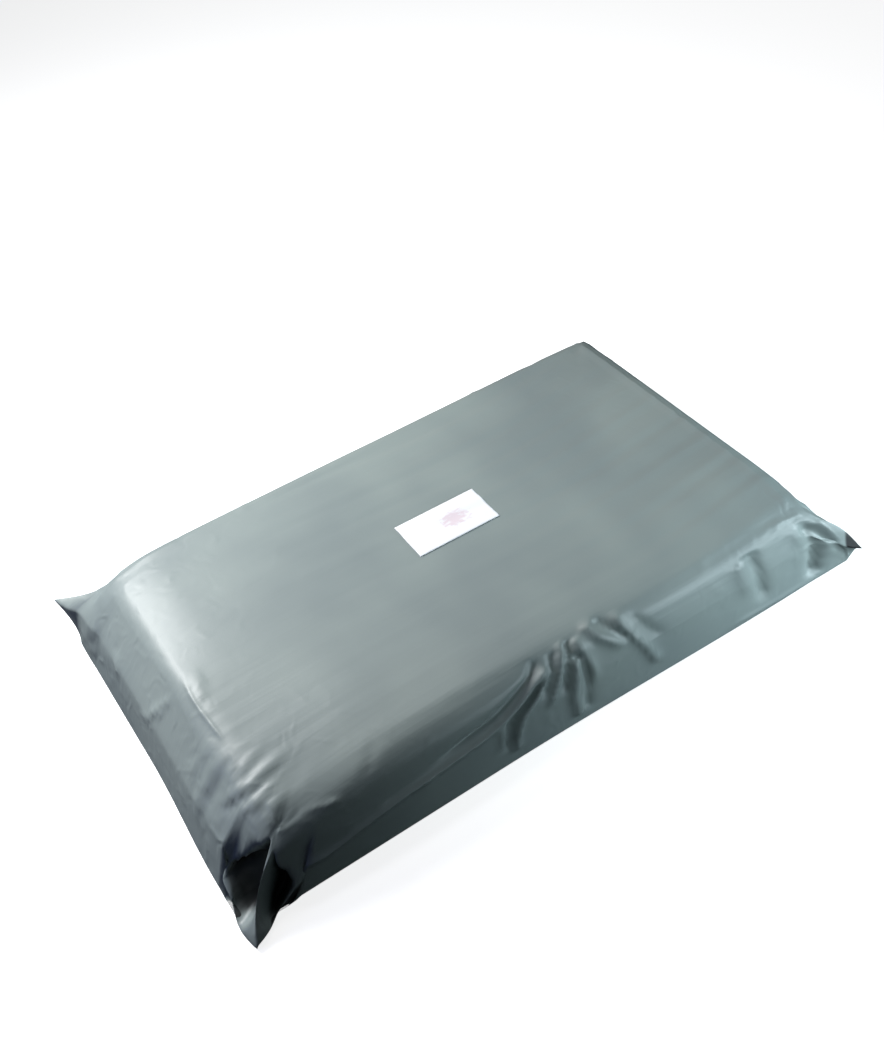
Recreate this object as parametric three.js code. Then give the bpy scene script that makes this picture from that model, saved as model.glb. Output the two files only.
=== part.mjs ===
// Grey polythene mailing bag, packed and sealed, with a paper address label.
// Millimetres, +Z up, +X along the bag. The origin is the bottom centre of the whole part.
// The bag is two equal film panels that meet in a weld line half way up the walls. Each panel is
// a flat sheet wrapped over the packed goods, and its four spare corner squares fold into ears.
import * as THREE from 'three';
import { mergeVertices } from 'three/addons/utils/BufferGeometryUtils.js';

// Packed goods under the film
const topLength = 410;
const topWidth = 241;
const packHeight = 68;
const endSlope = 33;        // how far each end runs out from the top edge to the base
const sideSlope = 12;       // the same for each long side
const shoulder = 7;         // half the film taken up by a rounded edge
const frontShoulder = 12;   // the same for the front edge, which is rounder
const crown = 1.4;          // rise of the top face at its middle
const sideBulge = 3;        // fullness of the long walls at the weld line
const endBulge = 7;         // the same for the ends, which break at the weld line
const endBreak = 0.1;       // softness of that break, 0 is sharp
const rimHeight = 0.8;      // edge of the goods pressing through along the back and right
const rimWidth = 3.5;

// Soft edges: the top face rolls down to the front, and to the left end on its back half
const frontRollDrop = 6;
const frontRollWidth = 46;
const leftRollDrop = 4.5;
const leftRollWidth = 36;
const leftRollStart = -25;
const leftRollFull = 60;

// Front wall: drawn in at the top where the pleats meet, fuller low down towards the right
const waist = 4;
const waistPlace = -10;
const waistLength = 105;
const lowBulge = 4;

// Film
const filmDrop = 37;        // film from a top edge down to the weld line
const weldHeight = 35;      // weld line above the base, clear of the ears
const weldRidge = 1.2;      // how proud the weld line stands of the back wall
const weldRidgeWidth = 4;

// Ears: reach out from the corner, bearing in degrees from +X, height of the tip above the base,
// how far the ear pulls the top corner down, and fullness of its end layer and its side layer
const earRoot = 27;         // film before a corner that already turns out to its ear
const earFlare = 1.7;       // how late the walls turn out, 1 is straight
const plainEar = {
  lateness: 1,              // 1 reaches out evenly on the way down, more reaches out lower down
  swing: 0,                 // degrees that the fold bows towards the end on its way down
  fall: 1,                  // below 1 the fold falls steeply at first and then lies flat
  spread: 1,                // above 1 the fullness keeps to the rim of the ear
  lie: 1.5,                 // how late the weld line runs down to the tip
  hollow: 0,                // depth of the pocket between each layer and the fold
  hollowEnd: 0,             // where the pocket starts on the end layer, 0 root to 1 fold
  hollowSide: 0,            // the same on the side layer
  hollowArc: 0,             // how much nearer the fold it starts at the top
  hollowFold: 1,            // where it ends before the fold
};
const ears = {
  frontLeft: {
    ...plainEar, reach: 26, bearing: 232, tip: 3, droop: 7, endFullness: 20, sideFullness: 10, lateness: 1.7,
    swing: 60, fall: 0.55, spread: 9, lie: 0.3, hollow: 14, hollowEnd: 0.12, hollowSide: 0.28, hollowArc: 0.85,
    hollowFold: 0.9,
  },
  frontRight: {
    ...plainEar, reach: 27, bearing: 322, tip: 18, droop: 6, endFullness: 6, sideFullness: 6, hollow: 6,
    hollowEnd: 0.4, hollowSide: 0.4, hollowFold: 0.58,
  },
  backRight: { ...plainEar, reach: 13, bearing: 30, tip: 16, droop: 4, endFullness: 4, sideFullness: 4 },
  backLeft: { ...plainEar, reach: 24, bearing: 146, tip: 48, droop: 8, endFullness: 9, sideFullness: 5 },
};

// Gathers: small puckers that run from each ear over the top and down the walls
const gatherHeight = 1.4;
const gatherLength = 32;    // distance from the corner at which they have mostly died out
const gatherCount = 11;     // puckers in a full turn round a corner
const gatherBeat = 4;       // slower swell that makes them uneven

// Folds: each runs along its wall from a starting place, and down through the film below the top edge.
// In the front wall the spare girth is drawn up to one point, with folds fanning out of it.
const halfTopLength = topLength / 2;
const halfTopWidth = topWidth / 2;
const fanPlace = -8;
const folds = [
  { wall: 'front', from: fanPlace, path: [[-6, 4], [-27, 20], [-56, 32], [-98, 37], [-176, 48]], height: 3.2, width: 3.6 },
  { wall: 'front', from: fanPlace, path: [[-12, -4], [-23, 9], [-53, 20], [-102, 27]], height: -2.4, width: 4 },
  { wall: 'front', from: fanPlace, path: [[-5, 14], [-21, 30], [-32, 46], [-29, 66]], height: 3.6, width: 3.2 },
  { wall: 'front', from: fanPlace, path: [[-33, 25], [-44, 37], [-37, 64]], height: 2.6, width: 3.4 },
  { wall: 'front', from: fanPlace, path: [[-18, 20], [-34, 38], [-37, 60]], height: -2.6, width: 3 },
  { wall: 'front', from: fanPlace, path: [[8, 4], [4, 13], [-6, 40]], height: 2.8, width: 3 },
  { wall: 'front', from: fanPlace, path: [[15, 16], [11, 32], [8, 58]], height: 3, width: 4 },
  { wall: 'front', from: fanPlace, path: [[15, 4], [19, 24], [18, 60]], height: -2.6, width: 3.4 },
  { wall: 'front', from: fanPlace, path: [[21, 6], [24, 18], [26, 34]], height: 2.6, width: 4 },
  { wall: 'front', from: fanPlace, path: [[32, -8], [36, 6], [46, 22]], height: 2.8, width: 4 },
  { wall: 'front', from: fanPlace, path: [[50, -6], [58, 19], [65, 45]], height: 3.2, width: 3.4 },
  { wall: 'front', from: fanPlace, path: [[64, 2], [74, 24], [82, 44]], height: -1.6, width: 5 },
  { wall: 'front', from: halfTopLength, path: [[-51, 8], [-46, 34], [-39, 66]], height: -3.2, width: 4.4 },
  { wall: 'front', from: halfTopLength, path: [[-63, 10], [-56, 52]], height: 1.8, width: 5.4 },
  { wall: 'left', from: -halfTopWidth, path: [[48, 30], [37, 2], [41, -26]], height: 1.6, width: 4 },
  { wall: 'left', from: -halfTopWidth, path: [[21, 24], [16, 0], [21, -12]], height: 1.6, width: 3.6 },
  { wall: 'left', from: -halfTopWidth, path: [[58, 54], [62, 34], [59, 14], [68, -8]], height: 1.4, width: 4 },
  { wall: 'left', from: 0, path: [[23, 45], [12, 33], [-2, 7]], height: 1.6, width: 4 },
];
const foldSteps = 16;       // straight pieces that a fold's curve is measured by
const foldFade = 0.25;      // share of a fold's length over which each end dies out

// Closing flap, stuck down over the right end
const flapLength = 30;      // film that it covers below the weld line
const flapStep = 0.9;

// Address label
const labelLength = 63.5;
const labelWidth = 33.9;
const labelThickness = 0.25;
const labelGap = 0.3;
const labelX = 3;
const labelY = 12.3;
const labelTurn = -1;       // degrees

// Facets
const endSteps = 12;        // across a shoulder and a drop of film
const lengthSteps = 54;
const widthSteps = 20;
const lengthCrowding = 0.4; // draws the steps along the length together at the fan
const widthCrowding = -0.5; // draws the steps across the width together at both edges
const labelLengthSteps = 10;
const labelWidthSteps = 6;

const { clamp, lerp } = THREE.MathUtils;
const smooth = THREE.MathUtils.smoothstep;
const radians = THREE.MathUtils.degToRad;
const bell = (distance, width) => Math.exp(-((distance / width) ** 2));

// Film that has gone over an edge, for a point that lies past it in the flat. It is nought on
// the face, all of it on the wall, and eased between the two across a shoulder of half width round.
function pastEdge(flat, round) {
  if (flat <= -round) return 0;
  if (flat >= round) return flat;
  return (flat + round) ** 2 / (4 * round);
}

function earAt(s, t) {
  if (s > 0) return t > 0 ? ears.backRight : ears.frontRight;
  return t > 0 ? ears.backLeft : ears.frontLeft;
}

// Puckers round a corner: along and across are the flat distances past its two edges
function gathers(along, across) {
  const away = Math.hypot(along, across);
  const turn = Math.atan2(across, along);
  const opened = smooth(away, 3, 16);
  const uneven = 0.55 + 0.45 * Math.cos(gatherBeat * turn + away / gatherLength);
  return gatherHeight * opened * uneven * Math.exp(-away / gatherLength) * Math.cos(gatherCount * turn);
}

const foldCurves = folds.map(({ from, path }) => {
  const curve = new THREE.SplineCurve(path.map(([along, depth]) => new THREE.Vector2(from + along, depth)));
  return curve.getPoints(foldSteps);
});

// Lift from the folds of one wall, at a place along it and at a depth of film below its top edge
function foldLift(wall, along, depth) {
  const place = new THREE.Vector2(along, depth);
  return folds.reduce((lift, fold, index) => {
    if (fold.wall !== wall) return lift;
    const curve = foldCurves[index];
    let nearest = Infinity;
    let share = 0;
    for (let step = 0; step < foldSteps; step += 1) {
      const run = curve[step + 1].clone().sub(curve[step]);
      const off = place.clone().sub(curve[step]);
      const part = clamp(off.dot(run) / run.lengthSq(), 0, 1);
      const away = off.sub(run.multiplyScalar(part)).length();
      if (away < nearest) {
        nearest = away;
        share = (step + part) / foldSteps;
      }
    }
    const fade = smooth(share, 0, foldFade) * (1 - smooth(share, 1 - foldFade, 1));
    return lift + fold.height * fade * bell(nearest, fold.width);
  }, 0);
}

// Drop of the top face near an edge, for a share of the way from its middle to that edge
function roll(share, half, drop, width) {
  return drop * clamp(1 - ((1 - share) * half) / width, 0, 1) ** 2;
}

// A point of the top panel (side 1) or bottom panel (side -1) from its place in the flat sheet
function wrap(s, t, side) {
  const pastEnd = Math.abs(s) - halfTopLength;
  const pastSide = Math.abs(t) - halfTopWidth;
  const onSide = pastSide > pastEnd;
  const nearer = Math.min(pastEnd, pastSide);
  const further = Math.max(pastEnd, pastSide);
  const sideShoulder = t < 0 ? frontShoulder : shoulder;
  const overEnd = pastEdge(pastEnd, shoulder);
  const overSide = pastEdge(pastSide, sideShoulder);
  const down = Math.max(overEnd, overSide) / filmDrop;
  const level = side > 0 ? down / 2 : 1 - down / 2;
  const alongShare = (halfTopLength + pastEnd - overEnd) / halfTopLength;
  const acrossShare = (halfTopWidth + pastSide - overSide) / halfTopWidth;
  const ontoEnd = smooth(pastEnd, -shoulder, shoulder);
  const ontoSide = smooth(pastSide, -sideShoulder, sideShoulder);

  // Walls of the packed goods, wider towards the base
  let x = alongShare * (halfTopLength + endSlope * level);
  let y = halfTopWidth + sideSlope * level;
  if (t < 0) {
    y -= waist * bell(s - waistPlace, waistLength) * (1 - level);
    y += lowBulge * smooth(s, 0, halfTopLength) * level;
  }
  y *= acrossShare;
  x += endBulge * (1 - Math.hypot(2 * level - 1, endBreak)) * ontoEnd * (1 - clamp(acrossShare, 0, 1) ** 6);
  y += sideBulge * Math.sin(Math.PI * level) * ontoSide * (1 - clamp(alongShare, 0, 1) ** 4);

  // Ear: two layers of film that leave the walls and meet in a fold from corner to tip, where a
  // hollow layer first dives in behind the wall
  const ear = earAt(s, t);
  const out = nearer > -earRoot ? (nearer + earRoot) / (further + earRoot) : 0;
  const lifted = clamp(1 - down, 0, 1) ** 1.6;
  const pocketStart = (onSide ? ear.hollowSide : ear.hollowEnd) + ear.hollowArc * lifted;
  const inPocket = smooth(out - pocketStart, -0.05, 0.07) * (1 - smooth(out - ear.hollowFold, -0.04, 0.08));
  const atPocket = smooth(level, 0.04, 0.12) * (1 - smooth(level, 0.42, 0.49));
  const reach = ear.reach * down ** ear.lateness * out ** earFlare - ear.hollow * inPocket * atPocket;
  const fullness = onSide ? ear.sideFullness : -ear.endFullness;
  const opening = fullness * down ** ear.spread * 4 * out * (1 - out);
  const bearing = radians(ear.bearing - ear.swing * (1 - down));
  const outward = new THREE.Vector2(Math.abs(Math.cos(bearing)), Math.abs(Math.sin(bearing)));
  x += reach * outward.x - opening * outward.y;
  y += reach * outward.y + opening * outward.x;

  // Heights: a crowned top with soft edges, a flat base, and a weld line that leads to the ear's tip
  const ledOut = clamp(out, 0, 1) * smooth(further, 0, filmDrop);
  const weld = lerp(weldHeight, ear.tip, ledOut ** ear.lie * down);
  let roof = packHeight + crown * (1 - alongShare ** 2) * (1 - acrossShare ** 2);
  roof -= ear.droop * (alongShare * acrossShare) ** 10;
  if (t < 0) roof -= roll(acrossShare, halfTopWidth, frontRollDrop, frontRollWidth);
  if (s < 0) {
    const backHalf = smooth(t, leftRollStart, leftRollFull);
    roof -= backHalf * roll(alongShare, halfTopLength, leftRollDrop, leftRollWidth);
  }
  const fallen = down ** lerp(1, ear.fall, clamp(out, 0, 1));
  let z = side > 0 ? lerp(roof, weld, fallen) : weld * down;

  // Relief of the film
  const depth = side > 0 ? further : 2 * filmDrop - further;
  const abovePlane = side > 0 ? 1 : smooth(down, 0, 0.4);
  let push = gathers(pastEnd, pastSide) * (1 - out * smooth(nearer, 0, filmDrop));
  if (onSide && t < 0) push += foldLift('front', s, depth);
  if (!onSide && s < 0) push += foldLift('left', t, depth);
  if (onSide && t > 0) push += weldRidge * bell(filmDrop * (1 - down), weldRidgeWidth) * (1 - out);
  push *= abovePlane;
  if (side < 0 && s > 0 && !onSide) {
    const covered = filmDrop - pastEnd;
    push += flapStep * smooth(covered, 0, 2) * (1 - smooth(covered, flapLength - 2, flapLength));
  }
  const onto = onSide ? ontoSide : ontoEnd;
  if (onSide) y += push * onto;
  else x += push * onto;
  if (side > 0) {
    const rimmed = (s > 0 ? bell(pastEnd + shoulder, rimWidth) : 0) + (t > 0 ? bell(pastSide + shoulder, rimWidth) : 0);
    z += rimHeight * Math.min(rimmed, 1) * (1 - down) + push * (1 - onto);
  }
  return new THREE.Vector3(Math.sign(s) * x, Math.sign(t) * y, z);
}

// Places of the grid lines along one direction of the flat sheet, from edge to edge
function gridLines(halfFace, faceSteps, crowding) {
  const inner = halfFace - shoulder;
  const lines = [];
  for (let step = endSteps; step > 0; step -= 1) lines.push(-inner - ((filmDrop + shoulder) * step) / endSteps);
  for (let step = 0; step <= faceSteps; step += 1) {
    const share = (2 * step) / faceSteps - 1;
    lines.push(inner * (share - (crowding * Math.sin(Math.PI * share)) / Math.PI));
  }
  for (let step = 1; step <= endSteps; step += 1) lines.push(inner + ((filmDrop + shoulder) * step) / endSteps);
  return lines;
}

function closedGeometry(points, faces) {
  const geometry = new THREE.BufferGeometry();
  geometry.setAttribute('position', new THREE.Float32BufferAttribute(points.flatMap((p) => [p.x, p.y, p.z]), 3));
  geometry.setIndex(faces.flat());
  return mergeVertices(geometry);
}

// The two triangles of a grid cell, split along the line that an ear's fold follows
function cellFaces(a, b, c, d, alongFold, outwardUp) {
  const faces = alongFold ? [[a, b, c], [a, c, d]] : [[a, b, d], [b, c, d]];
  return outwardUp ? faces : faces.map(([p, q, r]) => [p, r, q]);
}

function bagGeometry() {
  const along = gridLines(halfTopLength, lengthSteps, lengthCrowding);
  const across = gridLines(halfTopWidth, widthSteps, widthCrowding);
  const points = [];
  const faces = [];
  const top = along.map((s) => across.map((t) => points.push(wrap(s, t, 1)) - 1));
  const lastAlong = along.length - 1;
  const lastAcross = across.length - 1;
  const onRim = (i, j) => i === 0 || j === 0 || i === lastAlong || j === lastAcross;
  const inBase = (i, j) => i > endSteps && j > endSteps && i < lastAlong - endSteps && j < lastAcross - endSteps;
  const bottom = along.map((s, i) => across.map((t, j) => {
    if (onRim(i, j)) return top[i][j];
    return inBase(i, j) ? -1 : points.push(wrap(s, t, -1)) - 1;
  }));
  for (let i = 0; i < lastAlong; i += 1) {
    for (let j = 0; j < lastAcross; j += 1) {
      const alongFold = (along[i] + along[i + 1]) * (across[j] + across[j + 1]) > 0;
      const corners = (panel) => [panel[i][j], panel[i + 1][j], panel[i + 1][j + 1], panel[i][j + 1]];
      faces.push(...cellFaces(...corners(top), alongFold, true));
      const innerCell = i >= endSteps && j >= endSteps && i < lastAlong - endSteps && j < lastAcross - endSteps;
      if (!innerCell) faces.push(...cellFaces(...corners(bottom), alongFold, false));
    }
  }

  // Flat underside, closed from its border to one point
  const middle = points.push(new THREE.Vector3(0, 0, 0)) - 1;
  const border = [];
  for (let i = endSteps; i < lastAlong - endSteps; i += 1) border.push(bottom[i][endSteps]);
  for (let j = endSteps; j < lastAcross - endSteps; j += 1) border.push(bottom[lastAlong - endSteps][j]);
  for (let i = lastAlong - endSteps; i > endSteps; i -= 1) border.push(bottom[i][lastAcross - endSteps]);
  for (let j = lastAcross - endSteps; j > endSteps; j -= 1) border.push(bottom[endSteps][j]);
  border.forEach((point, k) => faces.push([point, middle, border[(k + 1) % border.length]]));
  return closedGeometry(points, faces);
}

// Paper that follows the film: a grid for its face, one for its back, and a wall round the edge
function labelGeometry() {
  const turn = new THREE.Vector2(Math.cos(radians(labelTurn)), Math.sin(radians(labelTurn)));
  const points = [];
  const faces = [];
  const layer = (lift) => Array.from({ length: labelLengthSteps + 1 }, (_, i) => (
    Array.from({ length: labelWidthSteps + 1 }, (__, j) => {
      const u = labelLength * (i / labelLengthSteps - 0.5);
      const v = labelWidth * (j / labelWidthSteps - 0.5);
      const point = wrap(labelX + u * turn.x - v * turn.y, labelY + u * turn.y + v * turn.x, 1);
      return points.push(point.setZ(point.z + lift)) - 1;
    })));
  const back = layer(labelGap);
  const face = layer(labelGap + labelThickness);
  for (let i = 0; i < labelLengthSteps; i += 1) {
    for (let j = 0; j < labelWidthSteps; j += 1) {
      const corners = (grid) => [grid[i][j], grid[i + 1][j], grid[i + 1][j + 1], grid[i][j + 1]];
      faces.push(...cellFaces(...corners(face), true, true), ...cellFaces(...corners(back), true, false));
    }
  }
  const border = [];
  for (let i = 0; i < labelLengthSteps; i += 1) border.push([i, 0]);
  for (let j = 0; j < labelWidthSteps; j += 1) border.push([labelLengthSteps, j]);
  for (let i = labelLengthSteps; i > 0; i -= 1) border.push([i, labelWidthSteps]);
  for (let j = labelWidthSteps; j > 0; j -= 1) border.push([0, j]);
  border.forEach(([i, j], k) => {
    const [m, n] = border[(k + 1) % border.length];
    faces.push([back[i][j], back[m][n], face[m][n]], [back[i][j], face[m][n], face[i][j]]);
  });
  return closedGeometry(points, faces);
}

function piece(name, geometry, colour, roughness) {
  geometry.computeVertexNormals();
  const material = new THREE.MeshStandardMaterial({ color: colour, roughness, metalness: 0 });
  const mesh = new THREE.Mesh(geometry, material);
  mesh.name = name;
  return mesh;
}

const bag = piece('mailer_bag', bagGeometry(), '#838f8f', 0.35);
const label = piece('address_label', labelGeometry(), '#e9ebee', 0.7);
const parcel = new THREE.Group();
parcel.add(bag, label);

// The origin goes to the bottom centre of the whole part, ears included
const box = new THREE.Box3().setFromObject(parcel, true);
const centre = box.getCenter(new THREE.Vector3());
parcel.position.set(-centre.x, -centre.y, -box.min.z);

export default parcel;
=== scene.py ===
"""A packed grey polythene mailing bag with a paper address label, in a plain pale studio.

The bag is two equal film panels joined in a weld line half way up the walls. Each panel is a flat
sheet wrapped over the soft goods inside, and its four spare corner squares fold into ears.
"""
import logging
import math
from dataclasses import dataclass, field, fields
from enum import Enum
from typing import Any

import bpy
import numpy as np
from mathutils import Matrix, Vector


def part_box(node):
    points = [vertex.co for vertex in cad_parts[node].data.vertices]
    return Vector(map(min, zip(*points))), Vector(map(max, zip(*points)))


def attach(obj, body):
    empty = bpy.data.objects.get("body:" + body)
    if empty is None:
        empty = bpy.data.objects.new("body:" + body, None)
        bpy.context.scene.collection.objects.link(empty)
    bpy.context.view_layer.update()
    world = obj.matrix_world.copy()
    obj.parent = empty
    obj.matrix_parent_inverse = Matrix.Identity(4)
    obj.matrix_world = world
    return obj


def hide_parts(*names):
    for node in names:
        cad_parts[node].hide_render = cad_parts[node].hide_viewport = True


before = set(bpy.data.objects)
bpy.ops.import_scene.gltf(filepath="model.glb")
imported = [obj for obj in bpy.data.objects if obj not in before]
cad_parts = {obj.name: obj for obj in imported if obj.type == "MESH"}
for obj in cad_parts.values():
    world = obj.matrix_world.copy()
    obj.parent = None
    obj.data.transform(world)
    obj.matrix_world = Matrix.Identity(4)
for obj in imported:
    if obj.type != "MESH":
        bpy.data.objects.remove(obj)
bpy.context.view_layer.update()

MM = 0.001
SEED = 7
WIDTHS_FELT = 5  # widths of a crease beyond which it lifts nothing
CORNER_BLEND = (-2 * MM, 5 * MM)  # how a form on one wall dies out past the corner to the next

Array = np.ndarray
Pair = tuple[float, float]
Place = tuple[float, float, float]
Path = tuple[Pair, ...]
Object = bpy.types.Object
Socket = bpy.types.NodeSocket
Tree = bpy.types.NodeTree

log = logging.getLogger("mailer")


def linear(colour: str) -> tuple[float, float, float, float]:
    """Turns an sRGB hex colour into the linear values that a shader takes, by sRGB's own curve.

    Args:
        colour: Six hex digits after a hash mark.

    Returns:
        Linear red, green and blue, and an alpha of 1.
    """
    shares = [int(colour[i : i + 2], 16) / 255 for i in (1, 3, 5)]
    steps = [c / 12.92 if c <= 0.04045 else ((c + 0.055) / 1.055) ** 2.4 for c in shares]
    return (steps[0], steps[1], steps[2], 1.0)


def smooth(value: Array | float, low: float, high: float) -> Array:
    """Gives an eased step from 0 at low to 1 at high.

    Args:
        value: What is compared with the two limits.
        low: Limit below which the step is 0.
        high: Limit above which the step is 1.

    Returns:
        The step for each value.
    """
    share = np.clip((np.asarray(value) - low) / (high - low), 0.0, 1.0)
    return share * share * (3 - 2 * share)


def mix(start: Array | float, end: Array | float, share: Array) -> Array:
    """Gives the value that lies between start and end at a share of the way."""
    return start + (end - start) * share


def add(
    tree: Tree, kind: str, links: dict[str | int, Any] | None = None, **settings: Any
) -> bpy.types.Node:
    """Adds a node with its settings, and fills or links its inputs.

    Args:
        tree: Node tree that gets the node.
        kind: Blender's name for the kind of node, without ShaderNode before it.
        links: Inputs by name or number, each a value or the socket that feeds it.
        settings: Properties of the node itself.

    Returns:
        The new node.
    """
    node = tree.nodes.new("ShaderNode" + kind)
    for name, value in settings.items():
        setattr(node, name, value)
    for name, value in (links or {}).items():
        if isinstance(value, bpy.types.NodeSocket):
            tree.links.new(value, node.inputs[name])
        else:
            node.inputs[name].default_value = value
    return node


def ramp(tree: Tree, factor: Socket, stops: dict[float, str]) -> Socket:
    """Adds a colour ramp with hex colours at its stops.

    Args:
        tree: Node tree that gets the ramp.
        factor: Socket that drives the ramp.
        stops: Hex colours by place along the ramp.

    Returns:
        The ramp's colour socket.
    """
    node = add(tree, "ValToRGB", {"Fac": factor})
    elements = node.color_ramp.elements
    while len(elements) < len(stops):
        elements.new(0.5)
    for element, (place, colour) in zip(elements, sorted(stops.items())):
        element.position = place
        element.color = linear(colour)
    return node.outputs["Color"]


def blank_material(name: str) -> tuple[bpy.types.Material, Tree, bpy.types.Node]:
    """Makes a material that holds only its output node.

    Args:
        name: Name of the material.

    Returns:
        The material, its node tree and the output node.
    """
    material = bpy.data.materials.new(name)
    material.use_nodes = True
    material.node_tree.nodes.clear()
    output = add(material.node_tree, "OutputMaterial")
    return material, material.node_tree, output


class Wall(Enum):
    """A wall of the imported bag, as the half of the sheet that it comes from and its direction."""

    FRONT = ("t", -1)
    BACK = ("t", 1)
    LEFT = ("s", -1)
    RIGHT = ("s", 1)


@dataclass(frozen=True)
class Goods:
    """Soft goods under the film, such as folded clothes: a low block with sloping walls."""

    top_length: float = 410 * MM
    top_width: float = 241 * MM
    height: float = 68 * MM
    end_slope: float = 33 * MM
    side_slope: float = 12 * MM
    crown: float = 1.4 * MM

    # Half the film that each rounded edge takes up
    shoulder: float = 7 * MM
    front_shoulder: float = 15 * MM
    left_shoulder: float = 13 * MM
    left_shoulder_ends: Pair = (-20 * MM, 50 * MM)
    base_shoulder: float = 4 * MM

    # Walls: fuller half way up, drawn in at the fan of folds, wider low down at both ends
    side_bulge: float = 3 * MM
    end_bulge: float = 7 * MM
    bulge_edge: float = 0.01
    side_bulge_power: int = 4
    end_bulge_power: int = 6
    waist: float = 4 * MM
    waist_place: float = -10 * MM
    waist_length: float = 105 * MM
    low_bulge: float = 5 * MM
    low_bulge_ends: Pair = (-50 * MM, 170 * MM)
    left_flare: float = 5 * MM
    left_flare_ends: Pair = (-10 * MM, 90 * MM)

    # Top face: its edge presses through at the back and right, and it sinks to the front and left
    rim_height: float = 0.8 * MM
    rim_width: float = 2.2 * MM
    front_roll: Pair = (7 * MM, 62 * MM)
    left_roll: Pair = (4.5 * MM, 36 * MM)
    left_roll_ends: Pair = (-25 * MM, 60 * MM)
    left_sag: float = 6 * MM
    left_sag_ends: Pair = (0 * MM, 105 * MM)
    left_sag_reach: float = 90 * MM


@dataclass(frozen=True)
class Ear:
    """A spare corner of the film, folded flat between its end layer and its side layer.

    The two layers can dive in towards the goods before they meet, which leaves a dark hollow. Its
    place is a share of the way from the ear's root, 0, to its fold, 1. Bearing, from +X, and swing
    are in degrees. Reach, height and fullness follow the way down to the powers lateness, fall and
    spread, and the weld line follows the way out to the power lie. A cup lets the upper layer sink
    into the hollow.
    """

    reach: float
    bearing: float
    tip: float
    droop: float
    end_fullness: float
    side_fullness: float
    lateness: float = 1.0
    swing: float = 0.0
    fall: float = 1.0
    spread: float = 1.0
    lie: float = 1.5
    hollow: float = 0.0
    hollow_from: float = 0.12
    hollow_side: float = 0.28
    hollow_arc: float = 0.85
    hollow_to: float = 0.9
    cup: float = 0.0
    # How far the ear's tip is drawn near-black
    inner: float = 0.0


@dataclass(frozen=True)
class Hollow:
    """Where the dark hollow of an ear opens and closes, in shares of the way out or down."""

    lead_in: Pair = (-0.04, 0.06)
    lead_out: Pair = (-0.04, 0.08)
    arc_power: float = 1.6
    top: Pair = (0.04, 0.12)
    bottom: float = 0.42
    cupped_bottom: float = 0.455
    bottom_blend: float = 0.045

    # The cup: the upper layer sinks to the lower one, which lies flat
    sink: Pair = (0.15, 0.36)
    sink_end: Pair = (0.465, 0.5)
    sink_out: Pair = (0.3, 0.5)
    flat_out: Pair = (0.02, 0.2)
    flatness: float = 13.0

    # Painted shade: the film is drawn near-black in the cupped hollow and on the fin below it, and
    # at the tip of an ear that asks for it
    turned: Pair = (0.64, 0.70)
    dark: Pair = (0.1, 0.18)
    dark_end: Pair = (0.48, 0.5)
    pale_tip: float = 0.05
    pale_tip_out: Pair = (0.6, 0.85)
    fin_shade_out: Pair = (0.05, 0.15)
    fin_shade_down: Pair = (0.2, 0.5)
    painted_shade_share: float = 0.9


@dataclass
class Sheet:
    """Points of the two film panels, by where they lie in the flat sheet.

    The wrap adds the values of each point's ear, and how far the point lies in its hollow.
    """

    s: Array
    t: Array
    side: Array
    goods: Goods
    drop: float
    root: float
    ear: Ear | None = None
    inside: Array | float = 0.0
    # Share of each point drawn near-black: painted shade in the cupped hollow and on the fin, and
    # one ear's dark tip
    inner: Array | float = 0.0

    def __post_init__(self) -> None:
        """Works out how far each point is past the edges, down the walls and out on an ear."""
        goods = self.goods
        self.past_end = np.abs(self.s) - goods.top_length / 2
        self.past_side = np.abs(self.t) - goods.top_width / 2
        self.on_side = self.past_side > self.past_end
        self.front = np.where(self.t < 0, 1.0, 0.0)
        self.nearer = np.minimum(self.past_end, self.past_side)
        self.further = np.maximum(self.past_end, self.past_side)
        rounder = smooth(-self.t, *goods.left_shoulder_ends) * (self.s < 0)
        over, base = self.side > 0, goods.base_shoulder
        end_shoulder = mix(goods.shoulder, goods.left_shoulder, rounder)
        side_shoulder = np.where(self.t < 0, goods.front_shoulder, goods.shoulder)
        over_end = self.past_edge(self.past_end, np.where(over, end_shoulder, base))
        over_side = self.past_edge(self.past_side, np.where(over, side_shoulder, base))
        self.down = np.maximum(over_end, over_side) / self.drop
        self.level = np.where(self.side > 0, self.down / 2, 1 - self.down / 2)
        self.along = 1 + (self.past_end - over_end) / (goods.top_length / 2)
        self.across = 1 + (self.past_side - over_side) / (goods.top_width / 2)
        beyond = np.where(self.further > -self.root, self.further + self.root, 1.0)
        self.out = np.where(self.nearer > -self.root, (self.nearer + self.root) / beyond, 0.0)

    @staticmethod
    def past_edge(flat: Array, shoulder: Array | float) -> Array:
        """Gives the film that has gone over an edge, eased across the rounded shoulder.

        Args:
            flat: Distance past the edge in the flat sheet.
            shoulder: Half the film that the rounded edge takes up.

        Returns:
            Nought on the face, all of the distance on the wall.
        """
        round_over = (flat + shoulder) ** 2 / (4 * shoulder)
        return np.where(flat <= -shoulder, 0.0, np.where(flat >= shoulder, flat, round_over))

    def on_wall(self, wall: Wall) -> tuple[Array, Array, Array]:
        """Gives places on one wall, which run on over the shoulder to the top face.

        Args:
            wall: The wall that the places are measured on.

        Returns:
            Distance along the wall, film below the top edge, and how far a point belongs there.
        """
        direction, sign = wall.value
        along, past, other, half = self.s, self.past_side, self.past_end, self.t
        if direction == "s":
            along, past, other, half = self.t, self.past_end, self.past_side, self.s
        depth = np.where(self.side > 0, past, 2 * self.drop - past)
        belongs = np.where(half * sign > 0, 1.0, 0.0) * (1 - smooth(other - past, *CORNER_BLEND))
        return along, depth, belongs


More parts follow.
